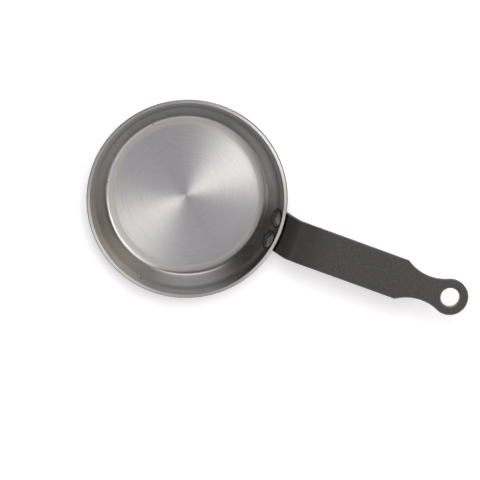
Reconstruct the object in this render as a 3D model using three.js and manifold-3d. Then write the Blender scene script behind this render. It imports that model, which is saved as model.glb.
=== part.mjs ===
// Blini pan: a small pressed steel pan with a strip handle, held by two rivets.
// Millimetres and degrees, +Z up. The origin is the centre of the base, and the handle points along +X.

import * as THREE from 'three';
import { mergeVertices } from 'three/addons/utils/BufferGeometryUtils.js';
import Module from 'manifold-3d';

// Pan body, one disc of sheet pressed into a flared dish
const rimDiameter = 120;
const panHeight = 19.2;
const sheetThickness = 2.5;
const wallAngle = 57.5; // wall to base
const rimBandAngle = 68; // the band below the rim stands steeper
const rimBandHeight = 7.5; // on the outside
const floorCornerRadius = 5; // inside, and the outside adds the sheet
const rimEdgeRadius = 0.4;

// Handle, one strip bent once and cut to a shoulder, a waist and a ring
const stripWidth = 24.7;
const stripThickness = 4;
const stripEdgeRadius = 0.9;
const flangeDrop = 7; // from the crease to the lower end
const flangeCornerRadius = 5;
const bendRise = 11.5; // from the rim up to the bend's corner
const bendRadius = 1; // inside of the bend
const bendExitAngle = 8; // slope just after the bend
const settleRadius = 140; // long curve from that slope to the grip's
const gripAngle = 3.3; // slope of the straight grip
const handleReach = 166.2; // from the pan's axis to the hanging hole
const ringRadius = 11;
const hangHoleRadius = 5.65;
const waistHalfWidth = 7.65;
const waistRadius = 27;

// Rivets, with a domed head inside the pan and a formed head under the flange
const rivetSpacing = 13.9;
const rivetHeight = 14; // where their axes meet the inside of the band
const shankRadius = 3;
const headRadius = 5.8;
const headHeight = 2.4;
const formedHeadRadius = 4.2;
const formedHeadHeight = 2.2;
const headLip = 0.6; // upright edge below each dome

// Clearances
const seatGap = 0.3; // between faces that lie on each other
const holeClearance = 0.2; // around a rivet's shank

// Facets
const panSegments = 96;
const rivetSegments = 28;
const holeSegments = 32;
const cornerSteps = 4;
const flangeSteps = 4;
const bendSteps = 7;
const settleSteps = 4;
const waistSteps = 10;
const ringSteps = 20;
const edgeSteps = 2;
const domeSteps = 5;
const stripColumns = 6;
const tipAngle = 4; // the ring's outline stops this far from its tip, with a short straight end

const wasm = await Module();
wasm.setup();
const rad = THREE.MathUtils.degToRad;
const sine = (degrees) => Math.sin(rad(degrees));
const cosine = (degrees) => Math.cos(rad(degrees));
const tangent = (degrees) => Math.tan(rad(degrees));

// Turns a closed geometry into a solid that can be cut and joined
function solidOf(geometry, matrix = new THREE.Matrix4()) {
  const bare = geometry.clone().applyMatrix4(matrix);
  bare.deleteAttribute('normal');
  bare.deleteAttribute('uv');
  const merged = mergeVertices(bare);
  const triangles = [];
  for (let i = 0; i < merged.index.count; i += 3) {
    const corners = [0, 1, 2].map((k) => merged.index.getX(i + k));
    if (new Set(corners).size === 3) {
      triangles.push(...corners);
    }
  }
  const vertProperties = new Float32Array(merged.attributes.position.array);
  const triVerts = new Uint32Array(triangles);
  return new wasm.Manifold(new wasm.Mesh({ numProp: 3, vertProperties, triVerts }));
}

function geometryOf(solid) {
  const mesh = solid.getMesh();
  const geometry = new THREE.BufferGeometry();
  geometry.setAttribute('position', new THREE.BufferAttribute(mesh.vertProperties, 3));
  geometry.setIndex(new THREE.BufferAttribute(mesh.triVerts, 1));
  geometry.computeVertexNormals();
  return geometry;
}

// Revolves a profile of radius and height about +Z
function revolve(profile, segments) {
  return new THREE.LatheGeometry(profile, segments).rotateX(Math.PI / 2);
}

// Revolves a closed ring of corners, clear of the axis
function revolveRing(corners) {
  const points = corners.map(({ point }) => point);
  return revolve([...points, points[0]], panSegments);
}

function cylinder(radius, bottom, top) {
  const profile = [corner(0, bottom), corner(radius, bottom), corner(radius, top), corner(0, top)];
  return revolve(roundedProfile(profile), rivetSegments);
}

const corner = (radius, height, fillet = 0) => ({ point: new THREE.Vector2(radius, height), fillet });

// The points of a profile whose corners are rounded by their own fillets
function roundedProfile(corners) {
  const points = [];
  corners.forEach(({ point, fillet }, i) => {
    if (fillet === 0) {
      points.push(point);
      return;
    }
    const back = corners[i - 1].point.clone().sub(point).normalize();
    const ahead = corners[i + 1].point.clone().sub(point).normalize();
    const half = Math.acos(back.dot(ahead)) / 2;
    const toCentre = back.clone().add(ahead).normalize();
    const centre = point.clone().addScaledVector(toCentre, fillet / Math.sin(half));
    const sweep = (Math.PI - 2 * half) * Math.sign(back.cross(ahead));
    const start = point.clone().addScaledVector(back, fillet / Math.tan(half));
    for (let k = 0; k <= cornerSteps; k += 1) {
      points.push(start.clone().rotateAround(centre, (-sweep * k) / cornerSteps));
    }
  });
  return points;
}

// The wall, as lines at a depth in from its outer face. A negative depth lies outside it.
// The rim's sharp corner stands out past the rounded edge that is left of it.
const rimRadius = rimDiameter / 2 + rimEdgeRadius * (1 / tangent(rimBandAngle / 2) - 1);
const creaseHeight = panHeight - rimBandHeight;
const creaseRadius = rimRadius - rimBandHeight / tangent(rimBandAngle);

function bandRadius(height, depth) {
  return rimRadius + (height - panHeight) / tangent(rimBandAngle) - depth / sine(rimBandAngle);
}

function wallRadius(height, depth) {
  return creaseRadius + (height - creaseHeight) / tangent(wallAngle) - depth / sine(wallAngle);
}

// The crease between wall and band, which moves along the line that halves their angle
function crease(depth) {
  const mean = (wallAngle + rimBandAngle) / 2;
  const along = depth / cosine((rimBandAngle - wallAngle) / 2);
  return corner(creaseRadius - along * sine(mean), creaseHeight + along * cosine(mean));
}

function panBlank() {
  return revolve(
    roundedProfile([
      corner(0, 0),
      corner(wallRadius(0, 0), 0, floorCornerRadius + sheetThickness),
      crease(0),
      corner(rimRadius, panHeight, rimEdgeRadius),
      corner(bandRadius(panHeight, sheetThickness), panHeight, rimEdgeRadius),
      crease(sheetThickness),
      corner(wallRadius(sheetThickness, sheetThickness), sheetThickness, floorCornerRadius),
      corner(0, sheetThickness),
    ]),
    panSegments,
  );
}

// Each rivet's own frame: its origin is on the inside of the band, and +Z points square into the pan
const rivetRadius = bandRadius(rivetHeight, sheetThickness);
const rivetAzimuth = Math.asin(rivetSpacing / 2 / rivetRadius);
const rivetFrame = new THREE.Matrix4()
  .makeRotationY(-rad(rimBandAngle))
  .setPosition(rivetRadius, 0, rivetHeight);
const formedSeat = -sheetThickness - seatGap - stripThickness;

function rivetHole(azimuth) {
  const past = headHeight + formedHeadHeight;
  const drill = cylinder(shankRadius + holeClearance, formedSeat - past, past);
  const place = new THREE.Matrix4().makeRotationZ(azimuth).multiply(rivetFrame);
  return solidOf(drill, place);
}

function drillForRivets(solid) {
  return solid.subtract(rivetHole(rivetAzimuth)).subtract(rivetHole(-rivetAzimuth));
}

// A domed head that stands on height 0, with a root below it to be cut to its seat
function domedHead(radius, height, root) {
  const rise = height - headLip;
  const sphere = (radius * radius + rise * rise) / (2 * rise);
  const reach = Math.asin(radius / sphere);
  const profile = [new THREE.Vector2(0, -root), new THREE.Vector2(radius, -root)];
  for (let k = 0; k <= domeSteps; k += 1) {
    const angle = reach * (1 - k / domeSteps);
    profile.push(new THREE.Vector2(sphere * Math.sin(angle), height - sphere * (1 - Math.cos(angle))));
  }
  return revolve(profile, rivetSegments);
}

// The space between two depths along the wall and the band, up past the rim
function wallSkin(outside, inside) {
  const top = panHeight + headRadius;
  return revolveRing([
    corner(wallRadius(0, outside), 0),
    crease(outside),
    corner(bandRadius(top, outside), top),
    corner(bandRadius(top, inside), top),
    crease(inside),
    corner(wallRadius(0, inside), 0),
  ]);
}

// A rivet whose two heads are cut to the faces that they lie on
function rivet() {
  const toRivet = rivetFrame.clone().invert();
  const panSkin = solidOf(wallSkin(0, sheetThickness + seatGap), toRivet);
  const flangeSkin = solidOf(wallSkin(-stripThickness - 2 * seatGap, -seatGap), toRivet);
  const turnedOver = new THREE.Matrix4().makeRotationX(Math.PI).setPosition(0, 0, formedSeat);
  const head = solidOf(domedHead(headRadius, headHeight, sheetThickness / 2));
  const formedHead = solidOf(domedHead(formedHeadRadius, formedHeadHeight, stripThickness / 2), turnedOver);
  const shank = solidOf(cylinder(shankRadius, formedSeat - headLip, headLip));
  return head.subtract(panSkin).add(formedHead.subtract(flangeSkin)).add(shank);
}

// The handle's spine, the line of its upper face in the XZ plane, from the flange's lower end to the tip.
// The flange lies along the wall, turns with it at the crease and goes up along the band to the bend.
const flangeCrease = crease(-seatGap).point;
const outerBendRadius = bendRadius + stripThickness;
const bendTurn = rimBandAngle - bendExitAngle;
const toBendCorner = (panHeight + bendRise - flangeCrease.y) / sine(rimBandAngle);
const flangeLength = flangeDrop + toBendCorner - outerBendRadius * tangent(bendTurn / 2);
const bendEnd = flangeLength + outerBendRadius * rad(bendTurn);
const settleEnd = bendEnd + settleRadius * rad(bendExitAngle - gripAngle);
const rimStation = flangeDrop + (panHeight - flangeCrease.y) / sine(rimBandAngle);

function addTurn(path, radius, from, to) {
  const { x, y } = path.currentPoint;
  path.absarc(x + radius * sine(from), y - radius * cosine(from), radius, rad(from + 90), rad(to + 90), true);
}

function makeSpine() {
  const path = new THREE.Path();
  const alongWall = new THREE.Vector2(cosine(wallAngle), sine(wallAngle));
  const alongBand = new THREE.Vector2(cosine(rimBandAngle), sine(rimBandAngle));
  const start = flangeCrease.clone().addScaledVector(alongWall, -flangeDrop);
  const bendStart = flangeCrease.clone().addScaledVector(alongBand, flangeLength - flangeDrop);
  path.moveTo(start.x, start.y);
  path.lineTo(flangeCrease.x, flangeCrease.y);
  path.lineTo(bendStart.x, bendStart.y);
  addTurn(path, outerBendRadius, rimBandAngle, bendExitAngle);
  addTurn(path, settleRadius, bendExitAngle, gripAngle);
  const { x, y } = path.currentPoint;
  const tip = handleReach + ringRadius * cosine(gripAngle);
  path.lineTo(tip, y + (tip - x) * tangent(gripAngle));
  return path;
}

const spine = makeSpine();
const spineLength = spine.getLength();
const ringStation = spineLength - ringRadius;

// Bends the flat strip: a station along the spine, a place across it and a depth below its upper face.
// The flange is curved across to the wall, and the curve fades out between the rim and the bend's end.
function bent(station, across, depth) {
  const point = spine.getPoint(station / spineLength);
  const heading = spine.getTangent(station / spineLength);
  const reach = point.x + heading.y * depth;
  const height = point.y - heading.x * depth;
  const curl = (1 - THREE.MathUtils.smoothstep(station, rimStation, bendEnd)) / reach;
  if (curl === 0) {
    return new THREE.Vector3(reach, across, height);
  }
  const turn = curl * across;
  return new THREE.Vector3(reach - (1 - Math.cos(turn)) / curl, Math.sin(turn) / curl, height);
}

// Evenly spaced numbers, both ends included
function steps(from, to, count) {
  return Array.from({ length: count + 1 }, (_, k) => from + ((to - from) * k) / count);
}

// The strip's outline drawn in by an inset: its stations from the flange to the tip, each with a half width
function stripOutline(inset) {
  const half = stripWidth / 2 - inset;
  const cornerRadius = flangeCornerRadius - inset;
  const rows = steps(0, 90, cornerSteps).map((angle) => [
    flangeCornerRadius - cornerRadius * cosine(angle),
    stripWidth / 2 - flangeCornerRadius + cornerRadius * sine(angle),
  ]);
  const straight = [
    flangeDrop,
    ...steps(flangeDrop, flangeLength, flangeSteps).slice(1),
    ...steps(flangeLength, bendEnd, bendSteps).slice(1),
    ...steps(bendEnd, settleEnd, settleSteps).slice(1),
  ];
  straight.forEach((station) => rows.push([station, half]));
  const waistCentre = waistHalfWidth + waistRadius;
  const waistBack = Math.sqrt((ringRadius + waistRadius) ** 2 - waistCentre ** 2);
  const waistStation = ringStation - waistBack;
  const waist = waistRadius + inset;
  const shoulderAngle = -Math.acos((waistCentre - half) / waist);
  const tangentAngle = Math.atan2(waistBack, waistCentre);
  steps(shoulderAngle, tangentAngle, waistSteps).forEach((angle) => {
    rows.push([waistStation + waist * Math.sin(angle), waistCentre - waist * Math.cos(angle)]);
  });
  const ring = ringRadius - inset;
  steps(Math.PI / 2 + tangentAngle, rad(tipAngle), ringSteps)
    .slice(1)
    .forEach((angle) => rows.push([ringStation + ring * Math.cos(angle), ring * Math.sin(angle)]));
  return rows;
}

// The strip's levels from its upper face to its lower, with quarter rounds along the edges
function stripLevels() {
  const upper = steps(0, 90, edgeSteps).map((angle) => ({
    inset: stripEdgeRadius * (1 - sine(angle)),
    depth: stripEdgeRadius * (1 - cosine(angle)),
  }));
  const lower = upper.map(({ inset, depth }) => ({ inset, depth: stripThickness - depth })).reverse();
  return [...upper, ...lower].map(({ inset, depth }) => {
    const outline = stripOutline(inset);
    return outline.map(([station, half]) =>
      steps(-half, half, stripColumns).map((across) => bent(station, across, depth)),
    );
  });
}

function stripGeometry() {
  const levels = stripLevels();
  const lastRow = levels[0].length - 1;
  const triangles = [];
  const quad = (a, b, c, d) => triangles.push(a, b, c, a, c, d);
  const top = levels[0];
  const bottom = levels[levels.length - 1];
  for (let i = 0; i < lastRow; i += 1) {
    for (let j = 0; j < stripColumns; j += 1) {
      quad(top[i][j], top[i + 1][j], top[i + 1][j + 1], top[i][j + 1]);
      quad(bottom[i][j], bottom[i][j + 1], bottom[i + 1][j + 1], bottom[i + 1][j]);
    }
  }
  const rowsUp = steps(0, lastRow, lastRow);
  const columnsUp = steps(0, stripColumns, stripColumns);
  const around = [
    ...rowsUp.map((i) => [i, 0]),
    ...columnsUp.slice(1).map((j) => [lastRow, j]),
    ...rowsUp.slice(0, -1).reverse().map((i) => [i, stripColumns]),
    ...columnsUp.slice(0, -1).reverse().map((j) => [0, j]),
  ];
  for (let k = 0; k + 1 < levels.length; k += 1) {
    for (let n = 0; n + 1 < around.length; n += 1) {
      const [i, j] = around[n];
      const [iNext, jNext] = around[n + 1];
      quad(levels[k + 1][i][j], levels[k + 1][iNext][jNext], levels[k][iNext][jNext], levels[k][i][j]);
    }
  }
  return new THREE.BufferGeometry().setFromPoints(triangles);
}

// Cuts the hanging hole, with its edges rounded like the strip's
function hangHole() {
  const path = new THREE.Path();
  const mouth = hangHoleRadius + stripEdgeRadius;
  path.moveTo(0, -2 * stripThickness);
  path.lineTo(mouth, -2 * stripThickness);
  path.lineTo(mouth, -stripThickness);
  path.absarc(mouth, stripEdgeRadius - stripThickness, stripEdgeRadius, -Math.PI / 2, -Math.PI, true);
  path.absarc(mouth, -stripEdgeRadius, stripEdgeRadius, Math.PI, Math.PI / 2, true);
  path.lineTo(mouth, stripThickness);
  path.lineTo(0, stripThickness);
  const centre = bent(ringStation, 0, 0);
  const place = new THREE.Matrix4().makeRotationY(-rad(gripAngle)).setPosition(centre);
  return solidOf(revolve(path.getPoints(edgeSteps), holeSegments), place);
}

function handle() {
  return drillForRivets(solidOf(stripGeometry())).subtract(hangHole());
}

const bareSteel = new THREE.MeshStandardMaterial({ color: 0x9c9a98, roughness: 0.35, metalness: 1 });
const coatedSteel = new THREE.MeshStandardMaterial({ color: 0x4b4843, roughness: 0.6, metalness: 0.6 });
const rivetSteel = new THREE.MeshStandardMaterial({ color: 0x4a4a49, roughness: 0.4, metalness: 1 });

function piece(name, solid, material) {
  const mesh = new THREE.Mesh(geometryOf(solid), material);
  mesh.name = name;
  return mesh;
}

const pan = new THREE.Group();
pan.add(piece('pan_body', drillForRivets(solidOf(panBlank())), bareSteel));
pan.add(piece('handle', handle(), coatedSteel));
for (const [name, azimuth] of [['rivet_left', rivetAzimuth], ['rivet_right', -rivetAzimuth]]) {
  const turned = new THREE.Group();
  const mesh = piece(name, rivet(), rivetSteel);
  mesh.position.setFromMatrixPosition(rivetFrame);
  mesh.quaternion.setFromRotationMatrix(rivetFrame);
  turned.rotation.z = azimuth;
  turned.add(mesh);
  pan.add(turned);
}

export default pan;
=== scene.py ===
"""A blini pan: a pressed steel dish with a brushed floor, a dark strip handle and two rivets.

Sizes are in millimetres and degrees, as in the solids, and meshes are written in metres.
"""
import math

import bpy
from mathutils import Matrix, Vector, noise


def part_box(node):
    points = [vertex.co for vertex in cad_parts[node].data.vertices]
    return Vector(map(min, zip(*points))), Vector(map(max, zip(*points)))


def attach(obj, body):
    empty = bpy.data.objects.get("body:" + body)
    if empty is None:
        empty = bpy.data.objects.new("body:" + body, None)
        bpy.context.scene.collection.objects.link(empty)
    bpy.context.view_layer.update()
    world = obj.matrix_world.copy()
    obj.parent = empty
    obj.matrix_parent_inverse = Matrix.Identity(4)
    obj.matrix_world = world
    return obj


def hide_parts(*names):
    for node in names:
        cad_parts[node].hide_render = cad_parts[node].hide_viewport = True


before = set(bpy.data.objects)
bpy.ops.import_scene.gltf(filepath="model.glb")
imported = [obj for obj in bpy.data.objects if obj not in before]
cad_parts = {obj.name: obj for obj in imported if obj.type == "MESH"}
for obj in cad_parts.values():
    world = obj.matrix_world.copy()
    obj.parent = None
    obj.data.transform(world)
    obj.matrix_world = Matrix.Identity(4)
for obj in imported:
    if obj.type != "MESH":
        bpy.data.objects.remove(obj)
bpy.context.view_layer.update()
MM = 0.001

# Pan body
RIM_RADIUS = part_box("pan_body")[1].x / MM
PAN_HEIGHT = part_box("pan_body")[1].z / MM
SHEET = 2.5
WALL_ANGLE = 57.5
BAND_ANGLE = 68
BAND_HEIGHT = 7.5
FLOOR_CORNER = 5
CORNER_ROUND = 3.8
DISH_START = 43.2
DISH_END = 47
DISH_ANGLE = 10
DISH_GROWTH = 1.6
RIM_EDGE = 0.4
RIM_OUTER_ROUND = 0.7
RIM_INNER_ROUND = 0.25
CREASE_ROUND = 16

# Handle
STRIP_WIDTH = 24.7
STRIP = 4
STRIP_EDGE = 0.9
FLANGE_DROP = 7
FLANGE_EASE = 1.5
FLANGE_CORNER = 5
BEND_RISE = 11.5
BEND_RADIUS = 1
BEND_EXIT = 8
SETTLE_RADIUS = 140
GRIP_ANGLE = 3.3
HANDLE_REACH = 166.2
RING_RADIUS = 11
HOLE_RADIUS = 5.65
WAIST_HALF = 7.65
WAIST_RADIUS = 27
SHOULDER_ROUND = 1.2

# Rivets
RIVET_SPACING = 13.9
RIVET_HEIGHT = 14
SHANK_RADIUS = 3
HEAD_RADIUS = 5.8
HEAD_HEIGHT = 2.4
FORMED_RADIUS = 4.2
FORMED_HEIGHT = 2.2
HEAD_LIP = 0.6
SEAT_GAP = 0.3
DIMPLE_DEPTH = 0.03
DIMPLE_SIZE = 2.2

# Mesh density
PAN_SEGMENTS = 288
RIVET_SEGMENTS = 72
HOLE_SEGMENTS = 96
STRIP_COLUMNS = 14

# Camera, fitted to the rim's ellipse, the rings inside the pan and the handle
CAMERA_AIM = Vector((37.88, -12.21, PAN_HEIGHT)) * MM
CAMERA_AZIMUTH = 131.15
CAMERA_ELEVATION = 77.68
CAMERA_DISTANCE = 1006.7 * MM
CAMERA_TURN = 19.55
CAMERA_LENS = 126.29
SENSOR = 36


def sine(degrees):
    return math.sin(math.radians(degrees))


def cosine(degrees):
    return math.cos(math.radians(degrees))


def tangent(degrees):
    return math.tan(math.radians(degrees))


def steps(first, last, count):
    return [first + (last - first) * k / count for k in range(count + 1)]


def smoothstep(value, low, high):
    t = min(1, max(0, (value - low) / (high - low)))
    return t * t * (3 - 2 * t)


def new_object(name, verts, faces, zones=None, attributes=None):
    """A smooth mesh object from points in millimetres, with a material number for each face."""
    mesh = bpy.data.meshes.new(name)
    mesh.from_pydata([Vector(v) * MM for v in verts], [], faces)
    mesh.polygons.foreach_set("use_smooth", [True] * len(faces))
    if zones:
        mesh.polygons.foreach_set("material_index", zones)
    for key, values in (attributes or {}).items():
        mesh.attributes.new(key, "FLOAT", "POINT").data.foreach_set("value", values)
    mesh.validate()
    mesh.update()
    obj = bpy.data.objects.new(name, mesh)
    bpy.context.scene.collection.objects.link(obj)
    return obj


def even_normals(obj):
    """Keeps flat faces flat beside their rounded edges, and applies what else changes the mesh."""
    obj.modifiers.new("even normals", "WEIGHTED_NORMAL").keep_sharp = True
    bpy.context.view_layer.update()
    shaped = bpy.data.meshes.new_from_object(obj.evaluated_get(bpy.context.evaluated_depsgraph_get()))
    obj.modifiers.clear()
    obj.data = shaped


def fillet(before, point, after, radius, count):
    """The arc that rounds one corner of a profile."""
    point = Vector(point)
    back = (Vector(before) - point).normalized()
    ahead = (Vector(after) - point).normalized()
    half = back.angle(ahead) / 2
    centre = point + (back + ahead).normalized() * radius / math.sin(half)
    start = point + back * radius / math.tan(half) - centre
    sweep = math.copysign(math.pi - 2 * half, back.x * ahead.y - back.y * ahead.x)
    arc = []
    for k in range(count + 1):
        arc.append(centre + Matrix.Rotation(-sweep * k / count, 2) @ start)
    return arc


def lathe(name, zones, segments):
    """Revolves profile zones, each a list of points, from the axis round to the axis again."""
    profile = [Vector(p) for zone in zones for p in zone]
    zone_of = [k for k, zone in enumerate(zones) for _ in zone]
    verts, rings = [], []
    for radius, height in profile:
        count = 1 if radius < 1e-6 else segments
        rings.append(range(len(verts), len(verts) + count))
        for k in range(count):
            turn = 2 * math.pi * k / segments
            verts.append((radius * math.cos(turn), radius * math.sin(turn), height))
    faces, face_zones = [], []
    for low, high, zone in zip(rings, rings[1:], zone_of):
        for k in range(segments):
            n = (k + 1) % segments
            if len(low) == 1:
                faces.append((low[0], high[n], high[k]))
            elif len(high) == 1:
                faces.append((low[k], low[n], high[0]))
            else:
                faces.append((low[k], low[n], high[n], high[k]))
            face_zones.append(zone)
    return new_object(name, verts, faces, face_zones)


# The wall, as lines at a depth in from its outer face
rim_corner = RIM_RADIUS + RIM_EDGE * (1 / tangent(BAND_ANGLE / 2) - 1)
crease_height = PAN_HEIGHT - BAND_HEIGHT
crease_radius = rim_corner - BAND_HEIGHT / tangent(BAND_ANGLE)


def band_radius(height, depth):
    return rim_corner + (height - PAN_HEIGHT) / tangent(BAND_ANGLE) - depth / sine(BAND_ANGLE)


def wall_radius(height, depth):
    return crease_radius + (height - crease_height) / tangent(WALL_ANGLE) - depth / sine(WALL_ANGLE)


def crease(depth):
    mean = (WALL_ANGLE + BAND_ANGLE) / 2
    along = depth / cosine((BAND_ANGLE - WALL_ANGLE) / 2)
    return crease_radius - along * sine(mean), crease_height + along * cosine(mean)


def dish_rise(radius):
    """How far the inside rises from the floor to the corner, steeper and steeper."""
    width = DISH_END - DISH_START
    power = DISH_GROWTH + 1
    return tangent(DISH_ANGLE) * width / power * ((radius - DISH_START) / width) ** power


def pan_body():
    """The dish, in five zones: outside, rim, wall, ring and floor."""
    base = (wall_radius(0, 0), 0)
    rim_in = (band_radius(PAN_HEIGHT, SHEET), PAN_HEIGHT)
    rim_out = (rim_corner, PAN_HEIGHT)
    dish = [(radius, SHEET + dish_rise(radius)) for radius in steps(DISH_END, DISH_START, 12)[:-1]]
    slope = tangent(DISH_ANGLE) / tangent(WALL_ANGLE)
    tangent_foot = DISH_END - dish_rise(DISH_END) / tangent(DISH_ANGLE)
    corner_radius = (wall_radius(SHEET, SHEET) - tangent_foot * slope) / (1 - slope)
    corner = (corner_radius, SHEET + (corner_radius - tangent_foot) * tangent(DISH_ANGLE))
    centre = (0, SHEET)
    outside = [(0, 0), (base[0] / 2, 0)]
    outside += fillet((0, 0), base, crease(0), FLOOR_CORNER + SHEET, 10)
    outside += fillet(base, crease(0), rim_out, CREASE_ROUND, 6)
    rim = fillet(crease(0), rim_out, rim_in, RIM_OUTER_ROUND, 10)
    rim += fillet(rim_out, rim_in, crease(SHEET), RIM_INNER_ROUND, 6)
    wall = [rim.pop()]
    wall += fillet(rim_in, crease(SHEET), corner, CREASE_ROUND, 8)
    wall += fillet(crease(SHEET), corner, dish[0], CORNER_ROUND, 14)
    floor = [(DISH_START * share, SHEET) for share in (1, 0.7, 0.35)] + [centre]
    body = lathe("pan_body_dressed", [outside, rim, wall, dish, floor], PAN_SEGMENTS)
    even_normals(body)
    return body


# Rivets: each has its own frame, with its origin on the inside of the band and +Z square into the pan
rivet_radius = band_radius(RIVET_HEIGHT, SHEET)
rivet_azimuth = math.asin(RIVET_SPACING / 2 / rivet_radius)
rivet_frame = Matrix.Translation((rivet_radius, 0, RIVET_HEIGHT)) @ Matrix.Rotation(
    -math.radians(BAND_ANGLE), 4, "Y"
)
formed_seat = -SHEET - SEAT_GAP - STRIP


def lift_to(depth, x, y, start):
    """The height along a rivet's axis at which the wall has a depth, found by stepping to it."""
    height = start
    for _ in range(12):
        point = rivet_frame @ Vector((x, y, height))
        face = min(wall_radius(point.z, depth), band_radius(point.z, depth))
        height += (math.hypot(point.x, point.y) - face) * sine(BAND_ANGLE)
    return height


def dome(radius, height, count):
    rise = height - HEAD_LIP
    sphere = (radius * radius + rise * rise) / (2 * rise)
    reach = math.asin(radius / sphere)
    points = []
    for angle in steps(0, reach, count):
        points.append((sphere * math.sin(angle), height - sphere * (1 - math.cos(angle))))
    return points


def hammered(x, y, seed):
    return DIMPLE_DEPTH * noise.noise(Vector((x, y, seed)) / DIMPLE_SIZE)


def rivet(name, azimuth):
    """A hammered head on the wall, a shank and a formed head on the flange, each bedded on its face."""
    flange = -SEAT_GAP - STRIP
    rings = [(r, h, None) for r, h in dome(HEAD_RADIUS, HEAD_HEIGHT, 14)]
    rings += [(HEAD_RADIUS, 0, SHEET), (SHANK_RADIUS, 0, SHEET)]
    rings += [(SHANK_RADIUS, formed_seat, flange), (FORMED_RADIUS, formed_seat, flange)]
    rings += [(r, formed_seat - h, None) for r, h in reversed(dome(FORMED_RADIUS, FORMED_HEIGHT, 10))]
    place = Matrix.Rotation(azimuth, 4, "Z") @ rivet_frame
    verts, edges, loops = [], [], []
    for radius, height, depth in rings:
        count = RIVET_SEGMENTS if radius else 1
        loops.append(range(len(verts), len(verts) + count))
        for k in range(count):
            turn = 2 * math.pi * k / RIVET_SEGMENTS
            x, y = radius * math.cos(turn), radius * math.sin(turn)
            if depth is None:
                lift = height + hammered(x, y, 100 * azimuth + height)
            else:
                lift = lift_to(depth, x, y, height)
            verts.append(place @ Vector((x, y, lift)))
            # The edge weight marks the lip, which the rivet material darkens as painted shadow
            edges.append(smoothstep(radius, 0.86 * HEAD_RADIUS, HEAD_RADIUS))
    faces = []
    for high, low in zip(loops, loops[1:]):
        for k in range(RIVET_SEGMENTS):
            n = (k + 1) % RIVET_SEGMENTS
            if len(high) == 1:
                faces.append((high[0], low[k], low[n]))
            elif len(low) == 1:
                faces.append((high[n], high[k], low[0]))
            else:
                faces.append((high[n], high[k], low[k], low[n]))
    obj = new_object(name, verts, faces, attributes={"edge": edges})
    obj.data.set_sharp_from_angle(angle=math.radians(40))
    return obj


# The handle's spine: the flange lies along the wall and the band, and the grip goes on from the bend
flange_crease = Vector(crease(-SEAT_GAP))
along_wall = Vector((cosine(WALL_ANGLE), sine(WALL_ANGLE)))
along_band = Vector((cosine(BAND_ANGLE), sine(BAND_ANGLE)))
outer_bend = BEND_RADIUS + STRIP
bend_turn = BAND_ANGLE - BEND_EXIT
to_bend_corner = (PAN_HEIGHT + BEND_RISE - flange_crease.y) / sine(BAND_ANGLE)
flange_length = FLANGE_DROP + to_bend_corner - outer_bend * tangent(bend_turn / 2)
bend_end = flange_length + outer_bend * math.radians(bend_turn)
settle_end = bend_end + SETTLE_RADIUS * math.radians(BEND_EXIT - GRIP_ANGLE)
rim_station = FLANGE_DROP + (PAN_HEIGHT - flange_crease.y) / sine(BAND_ANGLE)


def turn_by(point, heading, radius, turn):
    """Follows a clockwise arc from a point with a heading, both in degrees."""
    centre = point + Vector((sine(heading), -cosine(heading))) * radius
    return centre + Vector((-sine(heading - turn), cosine(heading - turn))) * radius


bend_start_point = flange_crease + along_band * (flange_length - FLANGE_DROP)
bend_end_point = turn_by(bend_start_point, BAND_ANGLE, outer_bend, bend_turn)
settle_end_point = turn_by(bend_end_point, BEND_EXIT, SETTLE_RADIUS, BEND_EXIT - GRIP_ANGLE)
ring_station = settle_end + (HANDLE_REACH - settle_end_point.x) / cosine(GRIP_ANGLE)


def on_spine(station):
    """The point and the heading of the strip's upper face at a station along it."""
    if station <= flange_length:
        turn = smoothstep(station, FLANGE_DROP - FLANGE_EASE, FLANGE_DROP + FLANGE_EASE)
        heading = WALL_ANGLE + (BAND_ANGLE - WALL_ANGLE) * turn
        along = along_wall if station < FLANGE_DROP else along_band
        point = flange_crease + along * (station - FLANGE_DROP)
    elif station <= bend_end:
        turn = math.degrees((station - flange_length) / outer_bend)
        heading = BAND_ANGLE - turn
        point = turn_by(bend_start_point, BAND_ANGLE, outer_bend, turn)
    elif station <= settle_end:
        turn = math.degrees((station - bend_end) / SETTLE_RADIUS)
        heading = BEND_EXIT - turn
        point = turn_by(bend_end_point, BEND_EXIT, SETTLE_RADIUS, turn)
    else:
        heading = GRIP_ANGLE
        point = settle_end_point + Vector((cosine(heading), sine(heading))) * (station - settle_end)
    return point, heading


def bent(station, across, depth):
    """Bends the flat strip. The flange curves across to the wall, and flattens between rim and bend."""
    point, heading = on_spine(station)
    reach = point.x + sine(heading) * depth
    height = point.y - cosine(heading) * depth
    curl = (1 - smoothstep(station, rim_station, bend_end)) / reach
    if curl == 0:
        return reach, across, height
    turn = curl * across
    return reach - (1 - math.cos(turn)) / curl, math.sin(turn) / curl, height


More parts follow.
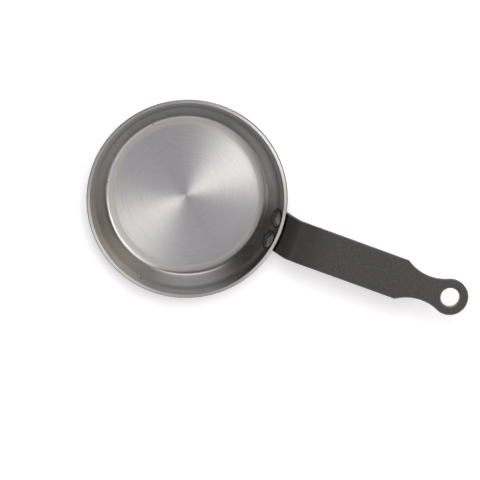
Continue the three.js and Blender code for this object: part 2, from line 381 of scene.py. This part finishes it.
def strip_outline(inset):
    """The strip's outline drawn in by an inset, as stations with half widths."""
    half = STRIP_WIDTH / 2 - inset
    corner = FLANGE_CORNER - inset
    rows = []
    for angle in steps(0, 90, 10):
        across = STRIP_WIDTH / 2 - FLANGE_CORNER + corner * sine(angle)
        rows.append((FLANGE_CORNER - corner * cosine(angle), across))
    straight = steps(FLANGE_CORNER, flange_length, 16)[1:]
    straight += steps(flange_length, bend_end, 14)[1:] + steps(bend_end, settle_end, 8)[1:]
    waist_centre = WAIST_HALF + WAIST_RADIUS
    waist_back = math.sqrt((RING_RADIUS + WAIST_RADIUS) ** 2 - waist_centre**2)
    waist_station = ring_station - waist_back
    waist = WAIST_RADIUS + inset
    shoulder = math.acos((waist_centre - half) / waist)
    shoulder_station = waist_station - waist * math.sin(shoulder)
    straight += steps(settle_end, shoulder_station - SHOULDER_ROUND, 12)[1:]
    rows += [(station, half) for station in straight]
    joined = math.atan2(waist_back, waist_centre)
    for angle in steps(-shoulder, joined, 32):
        rows.append((waist_station + waist * math.sin(angle), waist_centre - waist * math.cos(angle)))
    ring = RING_RADIUS - inset
    for angle in steps(math.pi / 2 + joined, math.radians(2), 56)[1:]:
        rows.append((ring_station + ring * math.cos(angle), ring * math.sin(angle)))
    return rows


def handle():
    """The bent strip, from its upper face round its quarter-round edges to its lower face."""
    edge = [(STRIP_EDGE * (1 - sine(a)), STRIP_EDGE * (1 - cosine(a))) for a in steps(0, 90, 5)]
    levels = edge + [(inset, STRIP - depth) for inset, depth in reversed(edge)]
    columns = STRIP_COLUMNS
    verts, edge_share, index = [], [], {}
    outlines = [strip_outline(inset) for inset, _ in levels]
    last_row = len(outlines[0]) - 1
    around = [(i, 0) for i in range(last_row + 1)]
    around += [(last_row, j) for j in range(1, columns + 1)]
    around += [(i, columns) for i in reversed(range(last_row))]
    around += [(0, j) for j in reversed(range(1, columns))]
    whole = [(i, j) for i in range(last_row + 1) for j in range(columns + 1)]
    for k, (inset, depth) in enumerate(levels):
        for i, j in whole if k in (0, len(levels) - 1) else around:
            station, half = outlines[k][i]
            index[k, i, j] = len(verts)
            verts.append(bent(station, half * (2 * j / columns - 1), depth))
            edge_share.append(1 - inset / STRIP_EDGE)
    faces = []
    bottom = len(levels) - 1
    for i in range(last_row):
        for j in range(columns):
            faces.append([index[0, a, b] for a, b in ((i, j), (i + 1, j), (i + 1, j + 1), (i, j + 1))])
            faces.append([index[bottom, a, b] for a, b in ((i, j), (i, j + 1), (i + 1, j + 1), (i + 1, j))])
    for k in range(bottom):
        for here, there in zip(around, around[1:] + around[:1]):
            faces.append([index[k + 1, *here], index[k + 1, *there], index[k, *there], index[k, *here]])
    obj = new_object("handle_dressed", verts, faces, attributes={"edge": edge_share})
    cut_hanging_hole(obj)
    return obj


def cut_hanging_hole(obj):
    """Cuts the hole in the ring, with its mouths rounded like the strip's edges."""
    mouth = HOLE_RADIUS + STRIP_EDGE
    profile = [(0, -2 * STRIP), (mouth, -2 * STRIP)]
    for angle in steps(-90, -180, 6):
        profile.append((mouth + STRIP_EDGE * cosine(angle), STRIP_EDGE - STRIP + STRIP_EDGE * sine(angle)))
    for angle in steps(180, 90, 6):
        profile.append((mouth + STRIP_EDGE * cosine(angle), -STRIP_EDGE + STRIP_EDGE * sine(angle)))
    profile += [(mouth, STRIP), (0, STRIP)]
    cutter = lathe("hole_cutter", [profile], HOLE_SEGMENTS)
    centre = Vector(bent(ring_station, 0, 0)) * MM
    cutter.data.transform(Matrix.Translation(centre) @ Matrix.Rotation(-math.radians(GRIP_ANGLE), 4, "Y"))
    cut = obj.modifiers.new("hole", "BOOLEAN")
    cut.operation = "DIFFERENCE"
    cut.solver = "EXACT"
    cut.object = cutter
    even_normals(obj)
    bpy.data.objects.remove(cutter)


# Sides of the pan, as the picture shows them: degrees anticlockwise from its right side
BROWN_SIDE = 205
# On this side the wall has painted shade and the rim a painted highlight
RIVET_SIDE = 328
# On this side the wall has a painted highlight and painted shade, and the rim's outer line painted shade
PAINTED_LIGHT_SIDE = 32
# The ring has painted shade on this side and on the opposite one
SHADED_RING_SIDE = 12

# Marks, painted shade and painted highlights on the pan, as spans of radius in which each comes or goes
DULL_MIDDLE = (2, 8)
BRUSH_STOP = (40.5, DISH_START + 0.4)
RING_SHADE = (DISH_START, 46)
NEAR_RING_SHADE = (DISH_START, 44.2)
FAR_RING_SHADE = (45, 46)
BROWN_START = (47.6, 49.6)
CORNER_HIGHLIGHT = (49.5, 51.5)
RIM_INNER_LINE = (RIM_RADIUS - SHEET + 0.15, RIM_RADIUS - SHEET + 0.45)
RIM_OUTER_LINE = (RIM_RADIUS - 0.95, RIM_RADIUS - 0.65)
RIM_GAP_SHADOW = (RIM_RADIUS + 0.6, RIM_RADIUS + 1.2)

# Lines of painted shade and painted highlight round the wall: the middle radius, and the distances from it
# between which each fades
SHADED_CORNER = (48.8, 0.3, 0.9)
WALL_HIGHLIGHT = (51, 1, 2.2)
CREASE_SHADE = (crease(SHEET)[0], 0.2, 1.4)

# Tiny pits in the wall, each at an angle in the picture and a radius, and the span in which they fade
PITS = [(115.3, 47.35), (150.1, 49.6), (170.3, 48.05), (240.5, 55.6)]
PIT_EDGE = (0.25, 0.65)

# Painted shade and highlights on the handle, as spans along it, across it or from its hole's middle, and
# the rivets' painted highlight by height
PAST_RIM = (66.5, 71)
BEND_SHADE = (73, 93)
RING_HIGHLIGHT = (HANDLE_REACH - 20, HANDLE_REACH + 8)
RIGHT_EDGE = (0, 6)
HOLE_EDGE = (HOLE_RADIUS, HOLE_RADIUS + STRIP_EDGE)
HEAD_HIGHLIGHT = (RIVET_HEIGHT + 2.4, RIVET_HEIGHT + 4.2)


def toward(picture_angle, elevation):
    """A direction from the pan, by its angle in the picture and its height over the floor."""
    azimuth = picture_angle + CAMERA_TURN
    return Vector((cosine(elevation) * cosine(azimuth), cosine(elevation) * sine(azimuth), sine(elevation)))


class Nodes:
    """A short way to write a node tree: each call adds a node, sets its values and links its inputs."""

    def __init__(self, tree):
        self.tree = tree
        tree.nodes.clear()

    def add(self, kind, settings=None, **inputs):
        node = self.tree.nodes.new(kind)
        for key, value in (settings or {}).items():
            setattr(node, key, value)
        for key, value in inputs.items():
            socket = node.inputs[int(key[1:]) if key[1:].isdigit() else key.replace("_", " ")]
            if isinstance(value, bpy.types.NodeSocket):
                self.tree.links.new(value, socket)
            else:
                socket.default_value = value
        return node

    def math(self, operation, *values):
        inputs = {f"i{k}": value for k, value in enumerate(values)}
        return self.add("ShaderNodeMath", {"operation": operation}, **inputs).outputs[0]

    def vector(self, operation, *values):
        inputs = {f"i{k}": value for k, value in enumerate(values)}
        node = self.add("ShaderNodeVectorMath", {"operation": operation}, **inputs)
        return node.outputs["Value" if operation in ("LENGTH", "DOT_PRODUCT") else "Vector"]

    def remap(self, value, low, high, to_low=0.0, to_high=1.0, smooth=True):
        settings = {"interpolation_type": "SMOOTHSTEP" if smooth else "LINEAR"}
        return self.add(
            "ShaderNodeMapRange", settings, i0=value, i1=low, i2=high, i3=to_low, i4=to_high
        ).outputs[0]

    def noise(self, vector, scale, detail=2.0, roughness=0.5):
        return self.add(
            "ShaderNodeTexNoise", None, Vector=vector, Scale=scale, Detail=detail, Roughness=roughness
        ).outputs["Fac"]

    def mix(self, factor, first, second):
        node = self.add("ShaderNodeMix", {"data_type": "RGBA"})
        for key, value in (("Factor", factor), ("A", first), ("B", second)):
            kind = "VALUE" if key == "Factor" else "RGBA"
            socket = next(s for s in node.inputs if s.name == key and s.type == kind)
            if isinstance(value, bpy.types.NodeSocket):
                self.tree.links.new(value, socket)
            else:
                socket.default_value = value
        return next(s for s in node.outputs if s.type == "RGBA")

    def bump(self, height, strength, distance):
        return self.add(
            "ShaderNodeBump", None, Height=height, Strength=strength, Distance=distance
        ).outputs["Normal"]

    def turned(self, position, rings, arcs):
        """A vector that varies fast with the radius about Z and slowly round it, for turning marks."""
        flat = self.vector("MULTIPLY", position, (1, 1, 0))
        radius = self.vector("LENGTH", flat)
        around = self.add("ShaderNodeSeparateXYZ", None, Vector=self.vector("NORMALIZE", flat))
        return self.add(
            "ShaderNodeCombineXYZ",
            None,
            X=self.math("MULTIPLY", radius, rings / MM),
            Y=self.math("MULTIPLY", around.outputs["X"], arcs),
            Z=self.math("MULTIPLY", around.outputs["Y"], arcs),
        ).outputs["Vector"]


def grey(level, warmth=0.0, rose=0.0):
    """A nearly neutral colour, which warmth turns towards cream and brown, and rose towards red."""
    return (level * (1 + 0.4 * warmth + rose), level, level * (1 - warmth), 1)


def new_material(name):
    material = bpy.data.materials.new(name)
    material.use_nodes = True
    return material, Nodes(material.node_tree)


def close(nodes, **inputs):
    shader = nodes.add("ShaderNodeBsdfPrincipled", None, **inputs)
    nodes.add("ShaderNodeOutputMaterial", None, Surface=shader.outputs["BSDF"])


def close_turned(nodes, anisotropy, **inputs):
    """Ends a bare steel, whose gloss is drawn out across its turning marks."""
    around = nodes.add("ShaderNodeTangent", {"direction_type": "RADIAL", "axis": "Z"}).outputs["Tangent"]
    drawn_out = {"Anisotropic": anisotropy, "Anisotropic_Rotation": 0.25, "Tangent": around}
    close(nodes, Metallic=1.0, **drawn_out, **inputs)


def position_of(nodes):
    return nodes.add("ShaderNodeTexCoord").outputs["Object"]


def radius_of(nodes, position):
    return nodes.vector("LENGTH", nodes.vector("MULTIPLY", position, (1, 1, 0)))


def ramp(nodes, value, span, to_low=0.0, to_high=1.0):
    """A smooth change over a span in millimetres."""
    return nodes.remap(value, span[0] * MM, span[1] * MM, to_low, to_high)


def line_of(nodes, radius, line):
    """One at the middle radius of a line, falling to zero on both sides."""
    middle, inner, outer = line
    away = nodes.math("ABSOLUTE", nodes.math("SUBTRACT", radius, middle * MM))
    return ramp(nodes, away, (inner, outer), 1.0, 0.0)


def side_of(nodes, position, picture_angle, low, high, to_low=0.0, to_high=1.0):
    """A mask that rises towards one side of the pan, between two cosines of the angle from it."""
    around = nodes.vector("NORMALIZE", nodes.vector("MULTIPLY", position, (1, 1, 0)))
    facing = nodes.vector("DOT_PRODUCT", around, toward(picture_angle, 0))
    return nodes.remap(facing, low, high, to_low, to_high)


def floor_steel():
    """The floor, brushed in circles, duller in the middle and where the brush stopped."""
    material, n = new_material("floor_steel")
    place = position_of(n)
    radius = radius_of(n, place)
    fine = n.noise(n.turned(place, 2.2, 7), 1, 3, 0.6)
    arcs = n.noise(n.turned(place, 2, 4), 1, 2, 0.6)
    stop = ramp(n, radius, BRUSH_STOP)
    middle = ramp(n, radius, DULL_MIDDLE, 0.1, 0.0)
    dull = n.math("ADD", n.math("MULTIPLY", stop, 0.06), middle)
    specks = n.math("MULTIPLY", n.noise(place, 1500, 1), 0.3)
    speckled = n.math("ADD", n.math("MULTIPLY", arcs, 0.7), specks)
    brushed = n.mix(n.remap(speckled, 0.3, 0.7), grey(0.55, -0.01), grey(0.63, -0.01))
    close_turned(
        n,
        0.8,
        Base_Color=n.mix(n.math("MULTIPLY", stop, 0.6), brushed, grey(0.58, 0.04)),
        Roughness=n.math("ADD", n.remap(fine, 0.3, 0.7, 0.33, 0.37, smooth=False), dull),
        Normal=n.bump(fine, 0.06, 0.02 * MM),
    )
    return material


def ring_steel():
    """The ring round the brushed floor, dull and a little yellow, with painted shade darkening it outwards
    and on two opposite sides.
    """
    material, n = new_material("ring_steel")
    place = position_of(n)
    streaks = n.noise(n.turned(place, 1.2, 5), 1, 3, 0.6)
    dull = n.mix(n.remap(streaks, 0.3, 0.7), grey(0.51, 0.03), grey(0.57, 0.03))
    radius = radius_of(n, place)
    # Painted shade, darker outwards towards the corner
    ring = n.mix(ramp(n, radius, RING_SHADE, 0.0, 0.35), dull, grey(0.42, 0.03))
    # Painted shade on two opposite sides of the ring
    near_side = side_of(n, place, SHADED_RING_SIDE, 0.7, 0.97)
    far_side = side_of(n, place, SHADED_RING_SIDE + 180, 0.7, 0.97)
    near = n.math("MULTIPLY", near_side, ramp(n, radius, NEAR_RING_SHADE, 0.0, 0.8))
    far = n.math("MULTIPLY", far_side, ramp(n, radius, FAR_RING_SHADE, 0.0, 0.7))
    close_turned(
        n,
        0.5,
        Base_Color=n.mix(n.math("ADD", near, far), ring, grey(0.4, 0.03)),
        Roughness=n.remap(streaks, 0.3, 0.7, 0.4, 0.44, smooth=False),
    )
    return material


def bare_wall(n, place, radius, clean):
    """The wall's steel, with streaks left by the spinning tool, a painted highlight by the corner, and a
    painted highlight and painted shade on one side.
    """
    streaks = n.noise(n.turned(place, 1.2, 4), 1, 3, 0.6)
    steel = n.mix(n.remap(streaks, 0.3, 0.7), grey(0.46, 0.02, 0.02), grey(0.53, 0.02, 0.02))
    # Painted highlight by the wall's corner
    corner = n.math("MULTIPLY", ramp(n, radius, CORNER_HIGHLIGHT, 1.0, 0.0), clean)
    steel = n.mix(corner, steel, grey(0.56, 0.02, 0.02))
    # Painted highlight and painted shade on one side of the wall
    painted_light_side = side_of(n, place, PAINTED_LIGHT_SIDE, 0.86, 0.95)
    painted_highlight = n.math("MULTIPLY", painted_light_side, line_of(n, radius, WALL_HIGHLIGHT))
    steel = n.mix(painted_highlight, steel, grey(0.6, 0.02, 0.02))
    shaded = n.math("MULTIPLY", painted_light_side, line_of(n, radius, SHADED_CORNER))
    return n.mix(shaded, steel, grey(0.38, 0.02, 0.02))


def pits(n, place):
    """A mask of the pits, round as seen from above."""
    flat = n.vector("MULTIPLY", place, (1, 1, 0))
    pitted = 0.0
    for picture_angle, radius in PITS:
        away = n.vector("LENGTH", n.vector("SUBTRACT", flat, toward(picture_angle, 0) * radius * MM))
        pitted = n.math("MAXIMUM", pitted, ramp(n, away, PIT_EDGE, 0.8, 0.0))
    return pitted


def wall_steel():
    """The wall, satin, with painted shade along the crease and on the side by the rivets, a brown side,
    smudges and pits.
    """
    material, n = new_material("wall_steel")
    place = position_of(n)
    radius = radius_of(n, place)
    brown_side = side_of(n, place, BROWN_SIDE, 0.5, 0.95)
    # Painted shade on the wall by the rivets
    rivet_side_shade = side_of(n, place, RIVET_SIDE, 0.85, 0.985, 0.0, 0.95)
    clean = n.math("SUBTRACT", 1.0, brown_side)
    steel = n.mix(rivet_side_shade, bare_wall(n, place, radius, clean), grey(0.14, 0.08))
    brown = n.math("MULTIPLY", brown_side, ramp(n, radius, BROWN_START))
    speckle = n.math("MULTIPLY", n.remap(n.noise(place, 900, 2), 0.35, 0.65, 0.5, 1.0), brown)
    stained = n.mix(speckle, steel, grey(0.48, 0.18, 0.03))
    # Painted shade along the crease
    crease_shade = n.math("MULTIPLY", line_of(n, radius, CREASE_SHADE), clean)
    creased = n.mix(crease_shade, stained, grey(0.33, 0.02, 0.02))
    smudge = n.remap(n.noise(place, 240, 3, 0.6), 0.5, 0.75, 0.0, 0.3)
    smudged = n.mix(smudge, creased, grey(0.38, 0.12))
    close_turned(
        n,
        0.4,
        Base_Color=n.mix(pits(n, place), smudged, grey(0.08, 0.05)),
        Roughness=0.28,
    )
    return material


def rim_steel():
    """The rim, ground like the floor, with a painted highlight by the handle, a brown inner line, and a
    dark outer line deepened by painted shade on one side.
    """
    material, n = new_material("rim_steel")
    place = position_of(n)
    radius = radius_of(n, place)
    fine = n.noise(n.turned(place, 3, 9), 1, 3)
    ground = n.mix(n.remap(fine, 0.3, 0.7), grey(0.56, 0.015), grey(0.63, 0.015))
    # Painted highlight on the rim by the handle
    ground = n.mix(side_of(n, place, RIVET_SIDE, 0.88, 0.985, 0.0, 0.9), ground, grey(0.92, 0.015))
    edged = n.mix(ramp(n, radius, RIM_INNER_LINE, 0.8, 0.0), ground, grey(0.25, 0.3))
    # Painted shade deepens the dark outer line on one side
    outer_shade_side = side_of(n, place, PAINTED_LIGHT_SIDE, 0.7, 0.97, 0.3, 0.95)
    outer_line = n.math("MULTIPLY", ramp(n, radius, RIM_OUTER_LINE), outer_shade_side)
    close_turned(
        n,
        0.8,
        Base_Color=n.mix(outer_line, edged, grey(0.1, 0.03)),
        Roughness=n.remap(fine, 0.3, 0.7, 0.33, 0.37, smooth=False),
    )
    return material


def outside_steel():
    """The outside and the base, turned, a little duller than the inside."""
    material, n = new_material("outside_steel")
    place = position_of(n)
    fine = n.noise(n.turned(place, 4, 4), 1, 3)
    close_turned(
        n,
        0.5,
        Base_Color=n.mix(fine, grey(0.5, 0.02), grey(0.58, 0.03)),
        Roughness=n.remap(fine, 0.3, 0.7, 0.34, 0.42, smooth=False),
    )
    return material


def edge_of(nodes):
    return nodes.add("ShaderNodeAttribute", {"attribute_name": "edge"}).outputs["Fac"]


def handle_steel():
    """The handle's dark, half shiny coat, with a fine grain, painted highlights on its edges and hole mouth
    towards the ring, painted shade along the bend, and painted shadow by the rim.
    """
    material, n = new_material("handle_steel")
    place = position_of(n)
    grain = n.noise(place, 1100, 3, 0.6)
    cloud = n.noise(place, 130, 3)
    coat = n.mix(n.remap(grain, 0.36, 0.64), grey(0.07, 0.1), grey(0.108, 0.1))
    shade = n.mix(n.remap(cloud, 0.35, 0.65, 0.0, 0.4), coat, grey(0.093, 0.1))
    along = n.add("ShaderNodeSeparateXYZ", None, Vector=place).outputs
    # Painted highlight on the lower edges towards the ring, and round the hole's mouth
    toward_ring = ramp(n, along["X"], RING_HIGHLIGHT, 0.4, 0.9)
    highlight_mask = n.math("MULTIPLY", toward_ring, ramp(n, along["Y"], RIGHT_EDGE, 1.0, 0.1))
    edges = n.math("MULTIPLY", n.remap(edge_of(n), 0.0, 0.6), highlight_mask)
    to_hole = radius_of(n, n.vector("SUBTRACT", place, Vector((HANDLE_REACH, 0, 0)) * MM))
    mouth = ramp(n, to_hole, HOLE_EDGE, 0.6, 0.0)
    painted_highlight = n.mix(n.math("MAXIMUM", edges, mouth), shade, grey(0.48, 0.06))
    # Painted shade past the rim and along the bend
    past_rim = ramp(n, along["X"], PAST_RIM, 0.3, 1.0)
    bend = n.math("MULTIPLY", past_rim, ramp(n, along["X"], BEND_SHADE, 0.55, 0.0))
    # Painted shadow: the handle goes near black in the gap beside the rim
    gap_shadow = ramp(n, radius_of(n, place), RIM_GAP_SHADOW, 1.0, 0.0)
    close(
        n,
        Base_Color=n.mix(gap_shadow, n.mix(bend, painted_highlight, grey(0.045, 0.12)), grey(0.008)),
        Metallic=0.8,
        Roughness=n.remap(grain, 0.3, 0.7, 0.44, 0.56, smooth=False),
        Normal=n.bump(grain, 0.3, 0.05 * MM),
    )
    return material


def rivet_steel():
    """Dark rivet steel, mottled, with painted shadow round the heads and a painted highlight on their upper
    sides.
    """
    material, n = new_material("rivet_steel")
    place = position_of(n)
    mottle = n.noise(place, 420, 2, 0.5)
    head = n.mix(n.remap(mottle, 0.35, 0.65), grey(0.17, 0.04), grey(0.24, 0.04))
    height = n.add("ShaderNodeSeparateXYZ", None, Vector=place).outputs["Z"]
    # Painted highlight on the heads' upper sides
    highlight_mask = n.math("MULTIPLY", ramp(n, height, HEAD_HIGHLIGHT), n.remap(mottle, 0.3, 0.6, 0.3, 1.0))
    painted_highlight = n.mix(highlight_mask, head, grey(0.62, 0.04))
    close(
        n,
        # Painted shadow round the heads' lips
        Base_Color=n.mix(edge_of(n), painted_highlight, grey(0.05, 0.04)),
        Metallic=1.0,
        Roughness=n.remap(mottle, 0.3, 0.7, 0.26, 0.36, smooth=False),
    )
    return material


def stand(piece, node, slot, *materials):
    """Puts a piece in place of its solid, with its materials."""
    for material in materials:
        piece.data.materials.append(material)
    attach(piece, "root")
    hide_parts(node)


def make_pan():
    steels = [outside_steel(), rim_steel(), wall_steel(), ring_steel(), floor_steel()]
    stand(pan_body(), "pan_body", "pan_steel", *steels)
    stand(handle(), "handle", "handle_steel", handle_steel())
    dark = rivet_steel()
    stand(rivet("rivet_left_dressed", rivet_azimuth), "rivet_left", "rivet_steel", dark)
    stand(rivet("rivet_right_dressed", -rivet_azimuth), "rivet_right", "rivet_steel", dark)


def make_camera():
    back = Vector(
        (
            cosine(CAMERA_ELEVATION) * cosine(CAMERA_AZIMUTH),
            cosine(CAMERA_ELEVATION) * sine(CAMERA_AZIMUTH),
            sine(CAMERA_ELEVATION),
        )
    )
    level = Vector((cosine(CAMERA_TURN), sine(CAMERA_TURN), 0))
    right = (level - back * level.dot(back)).normalized()
    up = back.cross(right)
    data = bpy.data.cameras.new("camera")
    data.lens = CAMERA_LENS
    data.sensor_width = SENSOR
    camera = bpy.data.objects.new("camera", data)
    camera.matrix_world = Matrix.Translation(CAMERA_AIM + back * CAMERA_DISTANCE) @ Matrix(
        (right, up, back)
    ).transposed().to_4x4()
    bpy.context.scene.collection.objects.link(camera)
    bpy.context.scene.camera = camera


# Floor and light, with lengths in metres
FLOOR_SIZE = 6
FLOOR_WHITE = 0.86
FLOOR_GLOW = 0.3
STUDIO_LEVEL = 0.06
STUDIO_COLOUR = (1, 0.97, 1.015)
KEY_DIRECTION = -7
KEY_ELEVATION = 70
KEY_DISTANCE = 3
KEY_SIZE = (0.55, 1.2)
KEY_POWER = 10.6
KEY_COLOUR = (1, 0.96, 0.87)
TOP_DIRECTION = 93
TOP_ELEVATION = 64
TOP_DISTANCE = 1.2
TOP_SIZE = (0.6, 0.6)
TOP_POWER = 8

# Soft panels of the studio: angle in the picture, elevation, reach and level
PANEL_CORE = 6
PANELS = [
    (30, 55, 20, 2.1),
    (50, 20, 35, 0.35),
    (90, 12, 35, 1.5),
    (165, 50, 40, 0.2),
    (215, 12, 35, 0.65),
    (280, 55, 40, 0.7),
    (330, 35, 30, 0.55),
]


def softbox(name, direction, distance, size, power, colour=(1, 1, 1), glossy=True):
    data = bpy.data.lights.new(name, "AREA")
    data.shape = "RECTANGLE"
    data.size, data.size_y = size
    data.energy = power
    data.color = colour
    lamp = bpy.data.objects.new(name, data)
    lamp.location = direction * distance
    lamp.rotation_euler = direction.to_track_quat("Z", "Y").to_euler()
    lamp.visible_glossy = glossy
    bpy.context.scene.collection.objects.link(lamp)


def make_world():
    """A dim studio with soft panels round it."""
    world = bpy.data.worlds.new("studio")
    bpy.context.scene.world = world
    world.use_nodes = True
    n = Nodes(world.node_tree)
    direction = n.add("ShaderNodeTexCoord").outputs["Generated"]
    level = STUDIO_LEVEL
    for picture_angle, elevation, reach, change in PANELS:
        facing = n.vector("DOT_PRODUCT", direction, toward(picture_angle, elevation))
        panel = n.remap(facing, cosine(reach), cosine(PANEL_CORE), 0.0, change)
        level = n.math("ADD", level, panel)
    background = n.add("ShaderNodeBackground", None, Color=(*STUDIO_COLOUR, 1), Strength=level)
    n.add("ShaderNodeOutputWorld", None, Surface=background.outputs["Background"])


def make_floor():
    """A white floor that keeps the shadows, and glows a little where it is seen or mirrored."""
    half = FLOOR_SIZE / 2 / MM
    floor = new_object(
        "floor", [(-half, -half, 0), (half, -half, 0), (half, half, 0), (-half, half, 0)], [(0, 1, 2, 3)]
    )
    material, n = new_material("floor_white")
    light = n.add("ShaderNodeLightPath").outputs
    mirrored = n.math("ADD", light["Is Glossy Ray"], light["Is Transmission Ray"])
    seen = n.math("ADD", light["Is Camera Ray"], mirrored)
    close(
        n,
        Base_Color=grey(FLOOR_WHITE),
        Roughness=1.0,
        Specular_IOR_Level=0.0,
        Emission_Color=(1, 1, 1, 1),
        Emission_Strength=n.math("MULTIPLY", n.math("MINIMUM", seen, 1.0), FLOOR_GLOW),
    )
    floor.data.materials.append(material)


make_camera()
make_pan()
make_floor()
make_world()
softbox("key", toward(KEY_DIRECTION, KEY_ELEVATION), KEY_DISTANCE, KEY_SIZE, KEY_POWER, KEY_COLOUR)
softbox("top", toward(TOP_DIRECTION, TOP_ELEVATION), TOP_DISTANCE, TOP_SIZE, TOP_POWER, glossy=False)

bpy.context.scene.view_settings.view_transform = "Standard"
